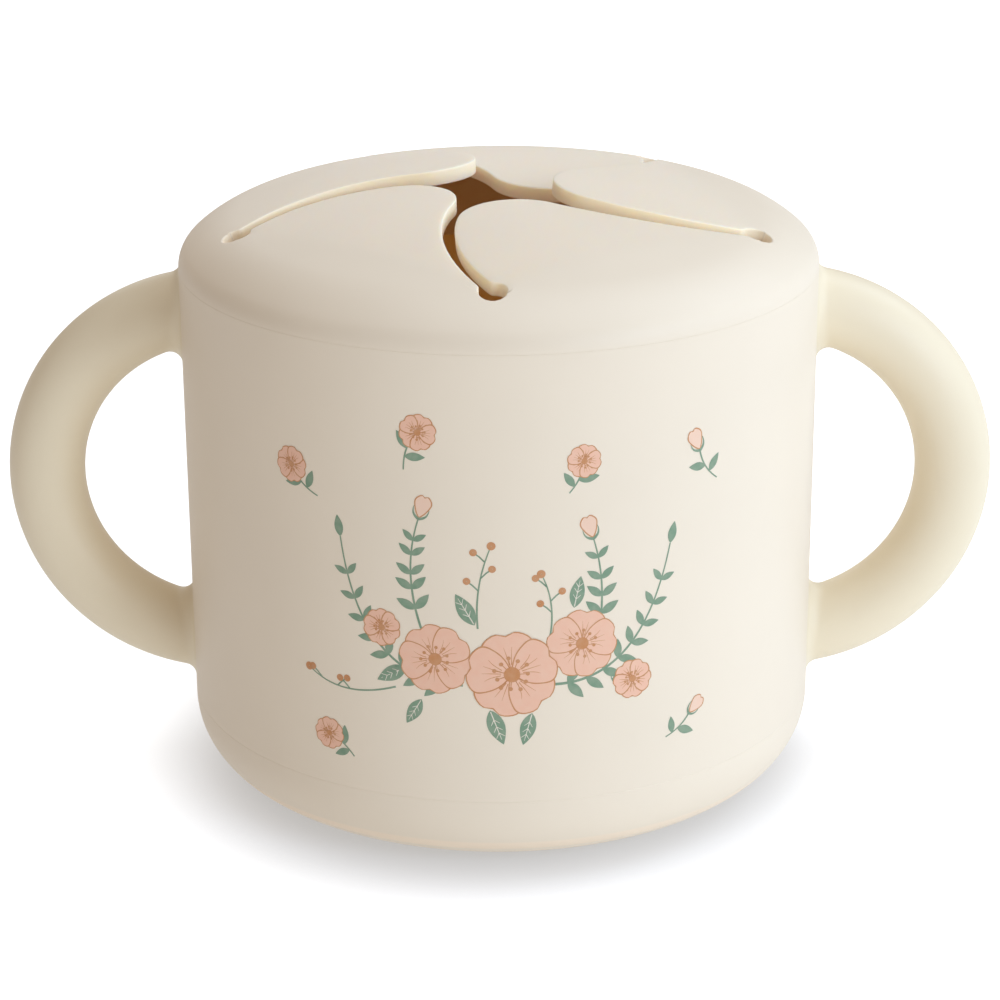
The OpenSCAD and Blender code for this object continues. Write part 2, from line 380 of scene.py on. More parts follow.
def flap_outline():
    """Root line from the first hole to the next, then back along slit, tip and slit."""
    first_c, next_c = slit_centre(0), slit_centre(STEP)
    first_r, next_r = SLIT_R - SLIT_W / 2, SLIT_R + SLIT_W / 2
    tip = crossing(first_c, first_r - TIP_R, next_c, next_r + TIP_R,
                   polar(HOLE_CIRCLE / 3, STEP / 2))
    mouth_a = polar(HOLE_CIRCLE - HOLE_R, STEP / 20)
    mouth_b = polar(HOLE_CIRCLE - HOLE_R, STEP * 0.95)
    flare_a = crossing(first_c, first_r - FLARE_R, HOLE_A, HOLE_R + FLARE_R, mouth_a)
    flare_b = crossing(next_c, next_r + FLARE_R, HOLE_B, HOLE_R + FLARE_R, mouth_b)
    root = [(ROOT_A.lerp(ROOT_B, i / ROOT_N), -OUTWARDS) for i in range(ROOT_N + 1)]
    neck_b = stretch(HOLE_B, HOLE_R, ROOT_B - HOLE_B, flare_b - HOLE_B, NECK_N, -1)
    turn_b = stretch(flare_b, FLARE_R, HOLE_B - flare_b, next_c - flare_b, FLARE_N, 1)
    side_b = stretch(next_c, next_r, flare_b - next_c, tip - next_c, SIDE_N, -1)
    round_tip = stretch(tip, TIP_R, next_c - tip, tip - first_c, TIP_N, 1)
    side_a = stretch(first_c, first_r, tip - first_c, flare_a - first_c, SIDE_N, 1)
    turn_a = stretch(flare_a, FLARE_R, flare_a - first_c, HOLE_A - flare_a, FLARE_N, 1)
    neck_a = stretch(HOLE_A, HOLE_R, flare_a - HOLE_A, ROOT_A - HOLE_A, NECK_N, -1)
    return root + neck_b[1:] + turn_b[1:] + side_b[1:] + round_tip[1:] + side_a[1:] \
        + turn_a[1:] + neck_a[1:-1], tip


OUTLINE, TIP = flap_outline()
print("a flap's outline has", len(OUTLINE), "points")


# %% [markdown]
# A resting flap doesn't lie quite in the dome: it is bent a few degrees at its root, and
# the bend is spread over three millimetres, as soft silicone bends. Points can also
# carry marks for the finish. A mark belongs to its point, so it bends with the flap.

# %% Bends and marks
STEEP, LEVEL = 0.5, 0.9  # uprightness of normals: wall, skin


def smooth(value, low, high):
    """0 below low, 1 above high, and a soft step between."""
    t = min(1.0, max(0.0, (value - low) / (high - low)))
    return t * t * (3 - 2 * t)


def hinge_of(k):
    """The middle of flap k's hinge line, and the way from it to the middle of the lid."""
    turn = FIRST + (k + 0.5) * STEP
    return (Vector((HINGE_R * math.cos(turn), HINGE_R * math.sin(turn), HINGE_Z)),
            Vector((-math.cos(turn), -math.sin(turn), 0)))


def bent(point, k, angle):
    """Turns a point about the hinge line of flap k, more and more over the bending zone."""
    hinge, inward = hinge_of(k)
    arm = Vector(point) - hinge
    turn = math.radians(angle) * smooth(arm.dot(inward), -BEND, BEND)
    return tuple(hinge + Matrix.Rotation(turn, 3, Vector((inward.y, -inward.x, 0))) @ arm)


def marked(piece, name, value_of):
    """Gives each point of a piece a number, worked out from its place and its normal."""
    marks = piece.data.attributes.new(name, "FLOAT", "POINT")
    for vert, mark in zip(piece.data.vertices, marks.data):
        mark.value = value_of(vert.co / MM, vert.normal)


def slit_wall(normal):
    """1 on the wall of a slit, 0 on the skin's two faces, and a soft step on its edges."""
    return 1 - smooth(abs(normal.z), STEEP, LEVEL)


print("the hinge lines are", round(HINGE_R, 2), "mm from the axis")


# %% [markdown]
# A flap is a thick skin. Its loops run from a middle line outwards over the upper
# face, round the soft upper edge, down the wall, and back to the middle line below.
# The root has no rounding, because there the flap goes on into the collar. The middle
# line starts close to the root, or rows would fold over at the thin corner beside it,
# and both halves of a loop meet it at the same points, so it closes without a gap. Two
# marks are set: "soak" says how far light soaks into the thin skin, and "cut" says where
# the wall of a slit is.

# %% The flaps
SOFT, SOFT_IN = 0.2, 3  # the slits' soft edges; steps to grow
ROUND_TURNS = [math.radians(a) for a in (0, 30, 60, 90)]
SOAK, SOAK_IN = 0.8, 4.0  # how far light soaks in, and from where
MARK_PLAY = 0.1  # mm around a hole, and past a root, whose own face isn't a slit's wall
MIDDLE_FROM, MIDDLE_LEAN = 0.46, 0.8  # where the middle line starts, and how its points bunch
FLAP_ROWS, FLAP_CROWD = 26, 1.5  # rows of faces, and how they bunch


def middle_share(i):
    """How far along the flap's middle line the loops gather from outline point i."""
    side = NECK_N + FLARE_N + SIDE_N
    last = ROOT_N + side
    if i <= ROOT_N:
        return 0.0
    if i < last:
        return ((i - ROOT_N) / side) ** MIDDLE_LEAN
    if i <= last + TIP_N:
        return 1.0
    return max(0.0, 1 - (i - last - TIP_N) / side) ** MIDDLE_LEAN


def flap_loops(k):
    count = len(OUTLINE)
    base = MIDDLE_FROM * (HOLE_A + HOLE_B)
    middle = [base.lerp(TIP, middle_share(i)) for i in range(count)]
    soft = [0.0 if i <= ROOT_N
            else SOFT * min(1.0, (i - ROOT_N) / SOFT_IN, (count - i) / SOFT_IN)
            for i in range(count)]
    shares = [1 - (j / FLAP_ROWS) ** FLAP_CROWD for j in range(FLAP_ROWS)]

    def loop(share, low, round_turn=0.0):
        """share 1 is the middle line; round_turn goes from 0, top, to 90 degrees, wall."""
        points = []
        for i, (p, inward) in enumerate(OUTLINE):
            rim = p + inward * soft[i] * (1 - math.sin(round_turn))
            xy = rim.lerp(middle[i], share)
            sink = soft[i] * (1 - math.cos(round_turn))
            points.append(on_skin(xy.x, xy.y, SKIN - sink if low else sink))
        return points

    loops = [loop(share, False) for share in shares]
    loops += [loop(0, False, turn) for turn in ROUND_TURNS]
    loops += [loop(0, True, turn) for turn in reversed(ROUND_TURNS)]
    loops += [loop(share, True) for share in reversed(shares)]
    turn = Matrix.Rotation(FIRST + k * STEP, 3, "Z")
    return [[bent(turn @ Vector(p), k, FLAP_REST[k]) for p in points] for points in loops]


flaps = []
for k, name in enumerate(FLAP_NAMES):
    skin = finished(lofted(f"{name}_skin", flap_loops(k)))
    flaps.append(skin)
    hinge, inward = hinge_of(k)

    def past_root(p):
        return (p - hinge).dot(inward) + BEND

    marked(skin, "soak", lambda p, n: SOAK * smooth(past_root(p), 0, SOAK_IN))
    marked(skin, "cut", lambda p, n: slit_wall(n) if past_root(p) > MARK_PLAY else 0.0)
    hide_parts(name)
    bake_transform(skin)


# %% [markdown]
# The collar is the rest of the lid: the skin from the flaps' roots out to the seam,
# and below it the plug with two sealing beads that hold the lid in the cup. Its
# section is a closed loop of rows. The inner edge isn't round but follows the five
# root lines and, between them, the outer rims of the slit holes, so each point of that
# edge starts a column of its own.

# %% The collar's inner edge
HOLE_RIM_N = 40  # steps round the rim of a hole


def collar_edge():
    """The collar's inner edge all the way round: place, way out, rounding."""
    edge = []
    root_b = Matrix.Rotation(-STEP, 2) @ ROOT_B  # the end of the root line before
    rim = arc_points(HOLE_A, HOLE_R, azimuth(root_b - HOLE_A), azimuth(ROOT_A - HOLE_A),
                     HOLE_RIM_N)
    for k in range(FLAPS):
        turn = Matrix.Rotation(FIRST + k * STEP, 2)
        for i, p in enumerate(rim[:-1]):
            out = (p - HOLE_A).normalized()
            soft = SOFT * min(1.0, i / SOFT_IN, (HOLE_RIM_N - i) / SOFT_IN)
            edge.append((turn @ p, turn @ out, soft))
        for p, _ in OUTLINE[:ROOT_N]:
            edge.append((turn @ p, turn @ OUTWARDS, 0.0))
    return edge


EDGE = collar_edge()
print("the collar's inner edge has", len(EDGE), "points")

# %% [markdown]
# The columns start at uneven places on the inner edge and become nearly even towards the
# rim. The upper face ends in the softened seam, and the lower face where the plug begins.
# The plug's foot has a lead-in, so it finds its way into the bore.

# %% The collar
COLLAR_ROWS, COLLAR_CROWD = 44, 1.25  # rows of faces, and how they bunch
LAST_ROW, EVEN_SHARE, EVEN_RATE = 0.992, 0.5, 1.6  # row beside the seam; evening out
BEAD_N, FOOT_EDGE, PLUG_MIDDLE = 8, 0.3, 3.0
LEAD_IN = ((0.0, 0.8), (0.15, 0.3), (0.5, 0.0))  # mm inwards, mm above the foot
PLUG_IN = PLUG_R - PLUG_T
PLUG_TURN = math.acos((PLUG_IN - SHOULDER_C[0]) / (SHOULDER_R - SKIN))
LOW_END = S_DOME + SHOULDER_R * (SHOULDER_TURN - PLUG_TURN)


def collar_loops():
    start = azimuth(EDGE[0][0])
    outer = []  # each column's start and end azimuth
    for i, (p, _, _) in enumerate(EDGE):
        a = azimuth(p)
        even = start + 2 * math.pi * i / len(EDGE)
        while a - even > math.pi:
            a -= 2 * math.pi
        while a - even < -math.pi:
            a += 2 * math.pi
        outer.append((a, EVEN_SHARE * a + (1 - EVEN_SHARE) * even))

    def skin_loop(share, low, turn=0.0):
        """A row between the inner edge, share 0, and the rim, share 1."""
        points = []
        for (p, out, soft), (a_in, a_out) in zip(EDGE, outer):
            q = p + out * soft * (1 - math.sin(turn)) * (1 - share)
            sink = soft * (1 - math.cos(turn))
            s0 = along_line(q.length)
            s1 = LOW_END if low else S_END - EDGE_SOFT
            r, z = lid_point(s0 + (s1 - s0) * share, SKIN - sink if low else sink)
            a = azimuth(q) + (a_in - azimuth(p)) + (a_out - a_in) * min(1.0, EVEN_RATE * share)
            points.append((r * math.cos(a), r * math.sin(a), z))
        return points

    def ring(r, z):
        return [(r * math.cos(a), r * math.sin(a), z) for _, a in outer]

    shares = [(j / COLLAR_ROWS) ** COLLAR_CROWD for j in range(COLLAR_ROWS + 1)]
    loops = [skin_loop(0, False, turn) for turn in reversed(ROUND_TURNS[1:])]
    loops += [skin_loop(share, False) for share in shares[:-1] + [LAST_ROW, 1.0]]
    rim = arc(CUP_R - EDGE_SOFT, RIM_Z + EDGE_SOFT, EDGE_SOFT, 0, -RIGHT, 4)[1:]
    low = RIM_Z - PLUG_H
    plug = [(PLUG_R, RIM_Z)]
    for n in (1, 0):
        z = low + (1 + 2 * n) * BEAD_H
        plug += [(PLUG_R + BEAD_OUT * math.sin(math.pi * j / BEAD_N) ** 2,
                  z + BEAD_H * (1 - j / BEAD_N)) for j in range(BEAD_N + 1)]
    plug += [(PLUG_R - inwards, low + up) for inwards, up in LEAD_IN]
    plug += [(PLUG_IN + FOOT_EDGE, low), (PLUG_IN, low + FOOT_EDGE),
             (PLUG_IN, RIM_Z - PLUG_MIDDLE), (PLUG_IN, RIM_Z)]
    loops += [ring(r, z) for r, z in rim + plug]
    loops += [skin_loop(share, True) for share in shares[::-2]]
    loops += [skin_loop(0, True, turn) for turn in ROUND_TURNS[1:]]
    return loops


loops = collar_loops()
collar = finished(lofted("collar_skin", loops + loops[:1]))
holes = [polar(HOLE_CIRCLE, FIRST + k * STEP) for k in range(FLAPS)]
marked(collar, "cut", lambda p, n: slit_wall(n)
       if min((p.xy - hole).length for hole in holes) < HOLE_R + MARK_PLAY else 0.0)
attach(collar, "lid")
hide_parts("lid_collar")


# %% [markdown]
# The front carries a printed garland: peach blossoms, sage leaves and small berries, in
# flat inks with fine outlines. Ink could be painted on an image, but that needs a file,
# so each shape is drawn as a thin flat sheet instead, sharp at any distance. A shape is
# an outline that shrinks ring by ring to its middle line. Blossom and leaf are drawn
# once on a flat sheet, copied to their places, and the whole sheet is then rolled on
# the wall, x along the wall and y up. Each ink lies a few thousandths of a millimetre
# above the last, as real layers of ink do.

# %% Inks and strokes
INKS = {"peach": (0.83, 0.50, 0.36), "blush": (0.84, 0.59, 0.45), "russet": (0.56, 0.25, 0.10),
        "sage": (0.19, 0.30, 0.20), "pale": (0.80, 0.74, 0.62)}
INK_BASE, INK_STEP = 0.020, 0.002  # height above the wall, per layer
INK_MERGE = 0.0004  # mm between doubled points
THICK, PEN, FINE = 0.19, 0.12, 0.10  # widths of the blossoms' pen lines


def drawn(name, outline, core, ink, layer=0, rings=2):
    """A flat sheet of ink between an outline and its core, which have as many points."""
    z = INK_BASE + layer * INK_STEP
    sheet = lofted(name, [[(*p.lerp(q, j / rings), z) for p, q in zip(outline, core)]
                          for j in range(rings + 1)])
    chosen(sheet)
    bpy.ops.object.mode_set(mode="EDIT")
    bpy.ops.mesh.select_all(action="SELECT")
    bpy.ops.mesh.remove_doubles(threshold=INK_MERGE * MM)
    bpy.ops.object.mode_set(mode="OBJECT")
    colours = sheet.data.color_attributes.new("ink", "FLOAT_COLOR", "POINT")
    for value in colours.data:
        value.color = (*INKS[ink], 1)
    return sheet


def stroke(name, path, width, ink, layer=0, taper=0.0):
    """A pen line along a path; taper is the share of its width that it loses at its end."""
    left, right = [], []
    for i, p in enumerate(path):
        along = (path[min(i + 1, len(path) - 1)] - path[max(i - 1, 0)]).normalized()
        half = 0.5 * width * (1 - taper * i / (len(path) - 1))
        across = Vector((-along.y, along.x)) * half
        left.append(p + across)
        right.append(p - across)
    return drawn(name, left + right[::-1], path + path[::-1], ink, layer, rings=1)


def rim_line(name, outline, core, width, ink, layer):
    """A closed pen line on an outline."""
    inner = [p + (q - p).normalized() * min(width, 0.9 * (q - p).length)
             for p, q in zip(outline, core)]
    return drawn(name, outline, inner, ink, layer, rings=1)


def joined(name, sheets):
    """One piece made of many."""
    nothing_selected()
    for sheet in sheets:
        sheet.select_set(True)
    bpy.context.view_layer.objects.active = sheets[0]
    bpy.ops.object.join()
    sheets[0].name = sheets[0].data.name = name
    return sheets[0]


def placed(motif, x, y, turn=0.0, size=1.0, layer=0):
    """A copy of a motif with its own mesh, moved, turned and scaled on the flat sheet."""
    mesh = motif.data.copy()
    size_flat = Matrix.Diagonal((size, size, 1, 1))
    lift = layer * INK_STEP * MM
    mesh.transform(Matrix.Translation((x * MM, y * MM, lift))
                   @ Matrix.Rotation(math.radians(turn), 4, "Z") @ size_flat)
    copy = bpy.data.objects.new(motif.name + "_copy", mesh)
    bpy.context.scene.collection.objects.link(copy)
    return copy


def curve(a, b, c, n=14):
    """A bowed path from a to c that is drawn towards b."""
    a, b, c = Vector(a), Vector(b), Vector(c)
    return [a.lerp(b, i / n).lerp(b.lerp(c, i / n), i / n) for i in range(n + 1)]


print("inks:", ", ".join(INKS))


# %% [markdown]
# A petal is widest near its end and has a shallow notch there. The blossom is seen from
# the front: five petals overlap one another round a dotted eye. A real hand wavers, so
# the outlines waver a little too.

# %% Petals and blossoms
PETAL_N, EYE_N, STAMENS = 22, 24, 11
PETAL_LAYERS = (0, 4, 0, 4, 8)  # how the five petals overlap
EYE_LAYER = 14


def petal_outline(length, width, waver):
    right = []
    for i in range(PETAL_N + 1):
        s = i / PETAL_N
        bulge = math.sin(math.pi * s ** 1.35) ** 0.62
        half = 0.5 * width * bulge * (1 + 0.05 * math.sin(9 * s + waver))
        right.append(Vector((half + 0.04 * width * (1 - s), length * s)))
    notch = 0.13 * length
    right = [Vector((p.x, p.y - notch * math.exp(-(p.x / (0.16 * width)) ** 2)
                     * (p.y / length) ** 6)) for p in right]
    left = [Vector((-p.x, p.y)) for p in right[::-1]]
    core = [Vector((0, length * (0.12 + 0.66 * i / PETAL_N))) for i in range(PETAL_N + 1)]
    return right + left, core + core[::-1]


def blossom(name, radius):
    sheets = []
    outline, core = petal_outline(radius, 1.04 * radius, 0.6)
    for k, layer in enumerate(PETAL_LAYERS):
        fill = drawn("petal", outline, core, "peach", layer, 5)
        rim = rim_line("petal_rim", outline, core, THICK, "russet", layer + 1)
        veins = [stroke("vein", curve((dx * 0.25, 0.22 * radius), (dx * 0.6, 0.45 * radius),
                                      (dx, (0.66 - 0.09 * abs(dx)) * radius), 8),
                        PEN, "russet", layer + 1, 0.7)
                 for dx in (-0.24 * radius, -0.08 * radius, 0.09 * radius, 0.25 * radius)]
        petal = joined("petal", [fill, rim] + veins)
        turn = 2 * math.pi * k / len(PETAL_LAYERS) + 0.1
        petal.data.transform(Matrix.Rotation(turn, 4, "Z"))
        sheets.append(petal)
    disc = [polar(0.17 * radius, 2 * math.pi * i / EYE_N) for i in range(EYE_N)]
    sheets.append(drawn("eye", disc, [p * 0.1 for p in disc], "russet", EYE_LAYER))
    for i in range(STAMENS):
        a = 2 * math.pi * i / STAMENS
        spot = polar((0.32 + 0.05 * (i % 2)) * radius, a)
        sheets.append(stroke("stamen", [polar(0.15 * radius, a), spot * 0.9, spot],
                             FINE, "russet", EYE_LAYER))
        ring = [spot + polar(0.035 * radius + 0.06, 2 * math.pi * j / 10) for j in range(10)]
        sheets.append(drawn("pollen", ring, [spot.lerp(p, 0.1) for p in ring], "russet",
                            EYE_LAYER + 1, 1))
    return joined(name, sheets)


BLOSSOM, SMALL_BLOSSOM = blossom("blossom", 6.0), blossom("small_blossom", 3.1)
print("blossom:", len(BLOSSOM.data.polygons), "faces")


# %% [markdown]
# A leaf is an almond with a pale rib. A bud is one petal held by two sepals, and a berry
# is a plain disc.

# %% Leaves, buds and berries
LEAF_N, BERRY_N = 16, 16


def leaf(name, length, width, rib=True):
    right = [Vector((0.5 * width * math.sin(math.pi * (i / LEAF_N) ** 0.85) ** 0.9,
                     length * i / LEAF_N)) for i in range(LEAF_N + 1)]
    core = [Vector((0, length * (0.08 + 0.84 * i / LEAF_N))) for i in range(LEAF_N + 1)]
    sheets = [drawn("blade", right + [Vector((-p.x, p.y)) for p in right[::-1]],
                    core + core[::-1], "sage", 1)]
    if rib:
        sheets.append(stroke("rib", [Vector((0, length * t)) for t in (0.04, 0.3, 0.6, 0.86)],
                             0.16, "pale", 2, 0.6))
        for side in (-1, 1):
            for t in (0.28, 0.48, 0.66):
                end = Vector((side * 0.26 * width, length * (t + 0.13)))
                sheets.append(stroke("side_rib", [Vector((0, length * t)), end],
                                     0.11, "pale", 2, 0.4))
    return joined(name, sheets)


def bud(name, length):
    outline, core = petal_outline(length, 0.66 * length, 1.4)
    sheets = [drawn("bud_petal", outline, core, "blush", 4),
              rim_line("bud_rim", outline, core, 0.17, "russet", 5)]
    for side in (-1, 1):
        bow = curve((0, -0.05 * length), (side * 0.34 * length, 0.05 * length),
                    (side * 0.30 * length, 0.42 * length), 8)
        sheets.append(stroke("sepal", bow, 0.42, "sage", 6, 0.85))
    return joined(name, sheets)


def berry(name, radius):
    ring = [polar(radius, 2 * math.pi * i / BERRY_N) for i in range(BERRY_N)]
    return drawn(name, ring, [p * 0.1 for p in ring], "russet", 3)


LEAF, TWIG_LEAF = leaf("leaf", 5.2, 2.3), leaf("twig_leaf", 2.7, 1.15, rib=False)
BUD, BERRY = bud("bud", 3.4), berry("berry", 0.5)
print("leaf:", len(LEAF.data.polygons), "faces; bud:", len(BUD.data.polygons), "faces")

# %% [markdown]
# The garland hangs like a smile across the middle of the wall. Two twigs run out and up
# from the blossoms at its lowest part, with leaves in pairs, and single small motifs are
# scattered round it. All of it is drawn flat first.

# %% Twigs
TWIG_N, STEM_N = 28, 20  # steps along a twig, along a stem
LEAF_SPREAD = 52  # degrees between a leaf and its twig
BERRY_SPOTS = (0.45, 0.62, 0.80)  # where the stalks leave the stem
art = []


def lean(v):
    """Degrees by which a direction on the sheet is turned from upright."""
    return math.degrees(math.atan2(-v.x, v.y))


def leafy_twig(a, b, c, first=0.12, pairs=7, size=1.0, end=None):
    path = curve(a, b, c, TWIG_N)
    art.append(stroke("twig", path, 0.36 * size, "sage", 0, 0.5))
    for i in range(pairs):
        n = int((first + (0.97 - first) * i / pairs) * TWIG_N)
        ahead = path[min(TWIG_N, n + 1)] - path[max(0, n - 1)]
        shrink = size * (1.05 - 0.38 * i / pairs)
        for side in (-1, 1):
            art.append(placed(TWIG_LEAF, path[n].x, path[n].y,
                              lean(ahead) + side * LEAF_SPREAD, shrink))
    art.append(placed(end or TWIG_LEAF, path[-1].x, path[-1].y, lean(path[-1] - path[-2]), size))


def berry_twig(a, b, c):
    path = curve(a, b, c, STEM_N)
    art.append(stroke("berry_stem", path, 0.26, "sage", 0, 0.4))
    for n, t in enumerate(BERRY_SPOTS):
        spot = path[int(STEM_N * t)]
        tip = spot + Vector((1.5 if n % 2 else -1.5, 1.3))
        bow = [spot, spot.lerp(tip, 0.5) + Vector((0, 0.1)), tip]
        art.append(stroke("berry_stalk", bow, 0.2, "sage", 0))
        art.append(placed(BERRY, tip.x, tip.y))
    art.append(placed(BERRY, path[-1].x, path[-1].y, 0, 1.15))


print("leaves stand", LEAF_SPREAD, "degrees from their twig")


# %% [markdown]
# Now the garland is laid out: twigs first, then leaves, and blossoms on top. Each place
# is in millimetres on the flat sheet.

# %% The garland
leafy_twig((-5, 28), (-19, 28), (-21.5, 47), pairs=8, size=1.1)
leafy_twig((6, 28), (19, 27), (23.0, 45.5), pairs=8, size=1.1)
leafy_twig((-9, 32), (-13.5, 42), (-10.5, 51), first=0.35, pairs=5, end=BUD)
leafy_twig((12, 31), (14.5, 40), (12.0, 48), first=0.38, pairs=4, end=BUD)
berry_twig((-3, 36), (-3.5, 42), (-1.2, 47.5))
berry_twig((6, 33), (7.5, 39), (5.2, 43.5))
berry_twig((-14, 27), (-22, 24), (-27, 27.5))
for x, y, turn, size in ((-1.5, 24.5, 200, 1.0), (4.0, 24.0, 165, 0.9), (-12.5, 30.0, 120, 0.9),
                         (14.5, 28.2, 245, 1.0), (-3.4, 36.5, 30, 0.95), (9.5, 38.5, -12, 0.85),
                         (-10.5, 25.6, 150, 0.8)):
    art.append(placed(LEAF, x, y, turn, size))
for x, y, turn, size, layer in ((-8.6, 31.5, 20, 0.86, 3), (10.6, 33.4, -14, 0.84, 3),
                                (1.4, 29.6, 3, 1.06, 22)):
    art.append(placed(BLOSSOM, x, y, turn, size, layer))
for x, y, turn, size in ((17.6, 27.4, 30, 0.95), (-15.8, 35.2, 12, 0.9)):
    art.append(placed(SMALL_BLOSSOM, x, y, turn, size, 3))
print("the garland is drawn in", len(art), "pieces")

# %% [markdown]
# The scattered motifs are a small blossom with two leaves, or a bud on a bent stalk.

# %% Scattered motifs
STALK_N = 10
TALL = (((-0.7, -2.6), (0.9, -5.4)), ((5, 60, 1.0), (7, -60, 1.0)))  # stalk's bow, two leaves
SHORT = (((0.6, -2.0), (-0.4, -4.6)), ((6, -62, 1.05), (8, 55, 0.9)))


def sprig(x, y, turn, kind, motif, size):
    (middle, end), leaves = kind
    flat = Matrix.Rotation(math.radians(turn), 2)
    stalk = [Vector((x, y)) + flat @ p for p in curve((0, 0), middle, end, STALK_N)]
    art.append(stroke("stalk", stalk, 0.26, "sage", 0, 0.3))
    for n, leaf_turn, leaf_size in leaves:
        art.append(placed(TWIG_LEAF, stalk[n].x, stalk[n].y, turn + leaf_turn, leaf_size))
    art.append(placed(motif, x, y, turn, size, 3))


sprig(-10.5, 62.5, -30, TALL, SMALL_BLOSSOM, 0.85)
sprig(27.5, 57.5, 24, TALL, BUD, 1.0)
sprig(-29.0, 55.5, 40, TALL, SMALL_BLOSSOM, 0.85)
sprig(10.8, 58.5, -20, SHORT, SMALL_BLOSSOM, 0.78)
sprig(-24.0, 18.5, 60, SHORT, SMALL_BLOSSOM, 0.78)
sprig(26.5, 20.5, -50, SHORT, BUD, 0.9)
print("with the scattered motifs there are", len(art), "pieces")

# %% [markdown]
# The finished sheet is rolled on the wall: a point's x becomes an angle, its z a small
# height above the wall. Then the faces that look inwards are selected and turned. That
# needs face select mode, or each face between selected points would be turned as well.

# %% Roll the print on the wall
floral_print = joined("floral_print", art)
for vert in floral_print.data.vertices:
    x, y, lift = vert.co / MM
    a = x / CUP_R - math.pi / 2
    vert.co = Vector(((CUP_R + lift) * math.cos(a), (CUP_R + lift) * math.sin(a), y)) * MM
for motif in (BLOSSOM, SMALL_BLOSSOM, LEAF, TWIG_LEAF, BUD, BERRY):
    bpy.data.objects.remove(motif)
floral_print.data.update()
chosen(floral_print)
bpy.ops.object.mode_set(mode="EDIT")
bpy.ops.mesh.select_mode(type="FACE")
bpy.ops.mesh.select_all(action="DESELECT")
sheet = bmesh.from_edit_mesh(floral_print.data)
for face in sheet.faces:
    middle = face.calc_center_median()
    if face.normal.dot(Vector((middle.x, middle.y, 0))) < 0:
        face.select = True
bpy.ops.mesh.flip_normals()
bpy.ops.mesh.select_mode(type="VERT")
bpy.ops.object.mode_set(mode="OBJECT")
bpy.ops.object.shade_smooth()
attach(floral_print, "cup")
print("the print has", len(floral_print.data.polygons), "faces")

# %% [markdown]
# Each finish is a small tree of nodes. Two helpers keep the trees short: one adds a node
# with its settings, the other fills its inputs, with a value or with a link.

# %% Helpers for finishes
SATIN = 0.35  # specular level of silicone and ink


def fed(node, inputs):
    """Fills inputs of a node; an output given as the value is linked."""
    for key, value in inputs.items():
        if isinstance(value, bpy.types.NodeSocket):
            node.id_data.links.new(value, node.inputs[key])
        else:
            node.inputs[key].default_value = value
    return node


def added(owner, kind, inputs=(), **settings):
    """Adds a node to the tree of a material or of the world."""
    node = owner.node_tree.nodes.new("ShaderNode" + kind)
    for key, value in settings.items():
        setattr(node, key, value)
    return fed(node, dict(inputs))


def finish(name, rough, level):
    """A new material and its shader."""
    mat = bpy.data.materials.new(name)
    mat.use_nodes = True
    shader = mat.node_tree.nodes["Principled BSDF"]
    return mat, fed(shader, {"Roughness": rough, "Specular IOR Level": level})


def between(owner, source, start, end, low, high, kind="SMOOTHSTEP"):
    """low where source is start, high where it is end, and a run between them."""
    return added(owner, "MapRange", {"Value": source, "From Min": start, "From Max": end,
                                     "To Min": low, "To Max": high},
                 interpolation_type=kind).outputs["Result"]


def times(owner, a, b):
    return added(owner, "Math", {0: a, 1: b}, operation="MULTIPLY").outputs["Value"]


def coated(pieces, mat):
    for piece in pieces:
        piece.data.materials.clear()
        piece.data.materials.append(mat)
    print(mat.name, "is on", len(pieces), "pieces")


# %% [markdown]
# Silicone is matt and a little milky. One recipe serves all pieces: a cream base with
# very faint clouds, as pigment mixes into the gum, and a grain so fine that it only
# breaks up the gloss. On the lid the marks come in: light soaks into the thin skin where
# "soak" says so. The walls of the slits, marked "cut", get painted light: their colour
# is made lighter and warmer and they glow faintly, in place of light that comes through
# the silicone. The inside of the cup gets a painted warm glow, in place of light that
# comes in through its walls, and it goes by the place on the piece. None of this depends
# on the side that one looks from.

# %% Silicone
CREAM, HONEY = (0.84, 0.742, 0.60), (0.84, 0.742, 0.555)  # cup and lid; the thicker handles
# The first two colours are painted light: a lighter, warmer tint and glow on the slit walls, and
# a warm glow inside the cup.
PAINTED_SLIT_LIGHT, PAINTED_INSIDE_GLOW = (0.88, 0.77, 0.59), (1.0, 0.36, 0.0)  # light through a slit's wall, inside
PAINTED_SLIT_GLOW, PAINTED_CUP_GLOW = 0.12, 0.05  # how strong each of them is
CLOUDS, CLOUD_DARK, GRAIN = 60.0, 0.98, 4000.0
GRAIN_HEIGHT, GRAIN_SHARE = 0.03, 0.15
SOAK_COLOURS, SOAK_DEPTH = (1.0, 0.75, 0.5), 2.2  # red goes deepest, mm
BORE_FROM, BORE_TO = 42.0, 42.4  # radii between which the glow ends
FLOOR_FROM, FLOOR_TO = 2.5, 3.0  # heights between which it begins


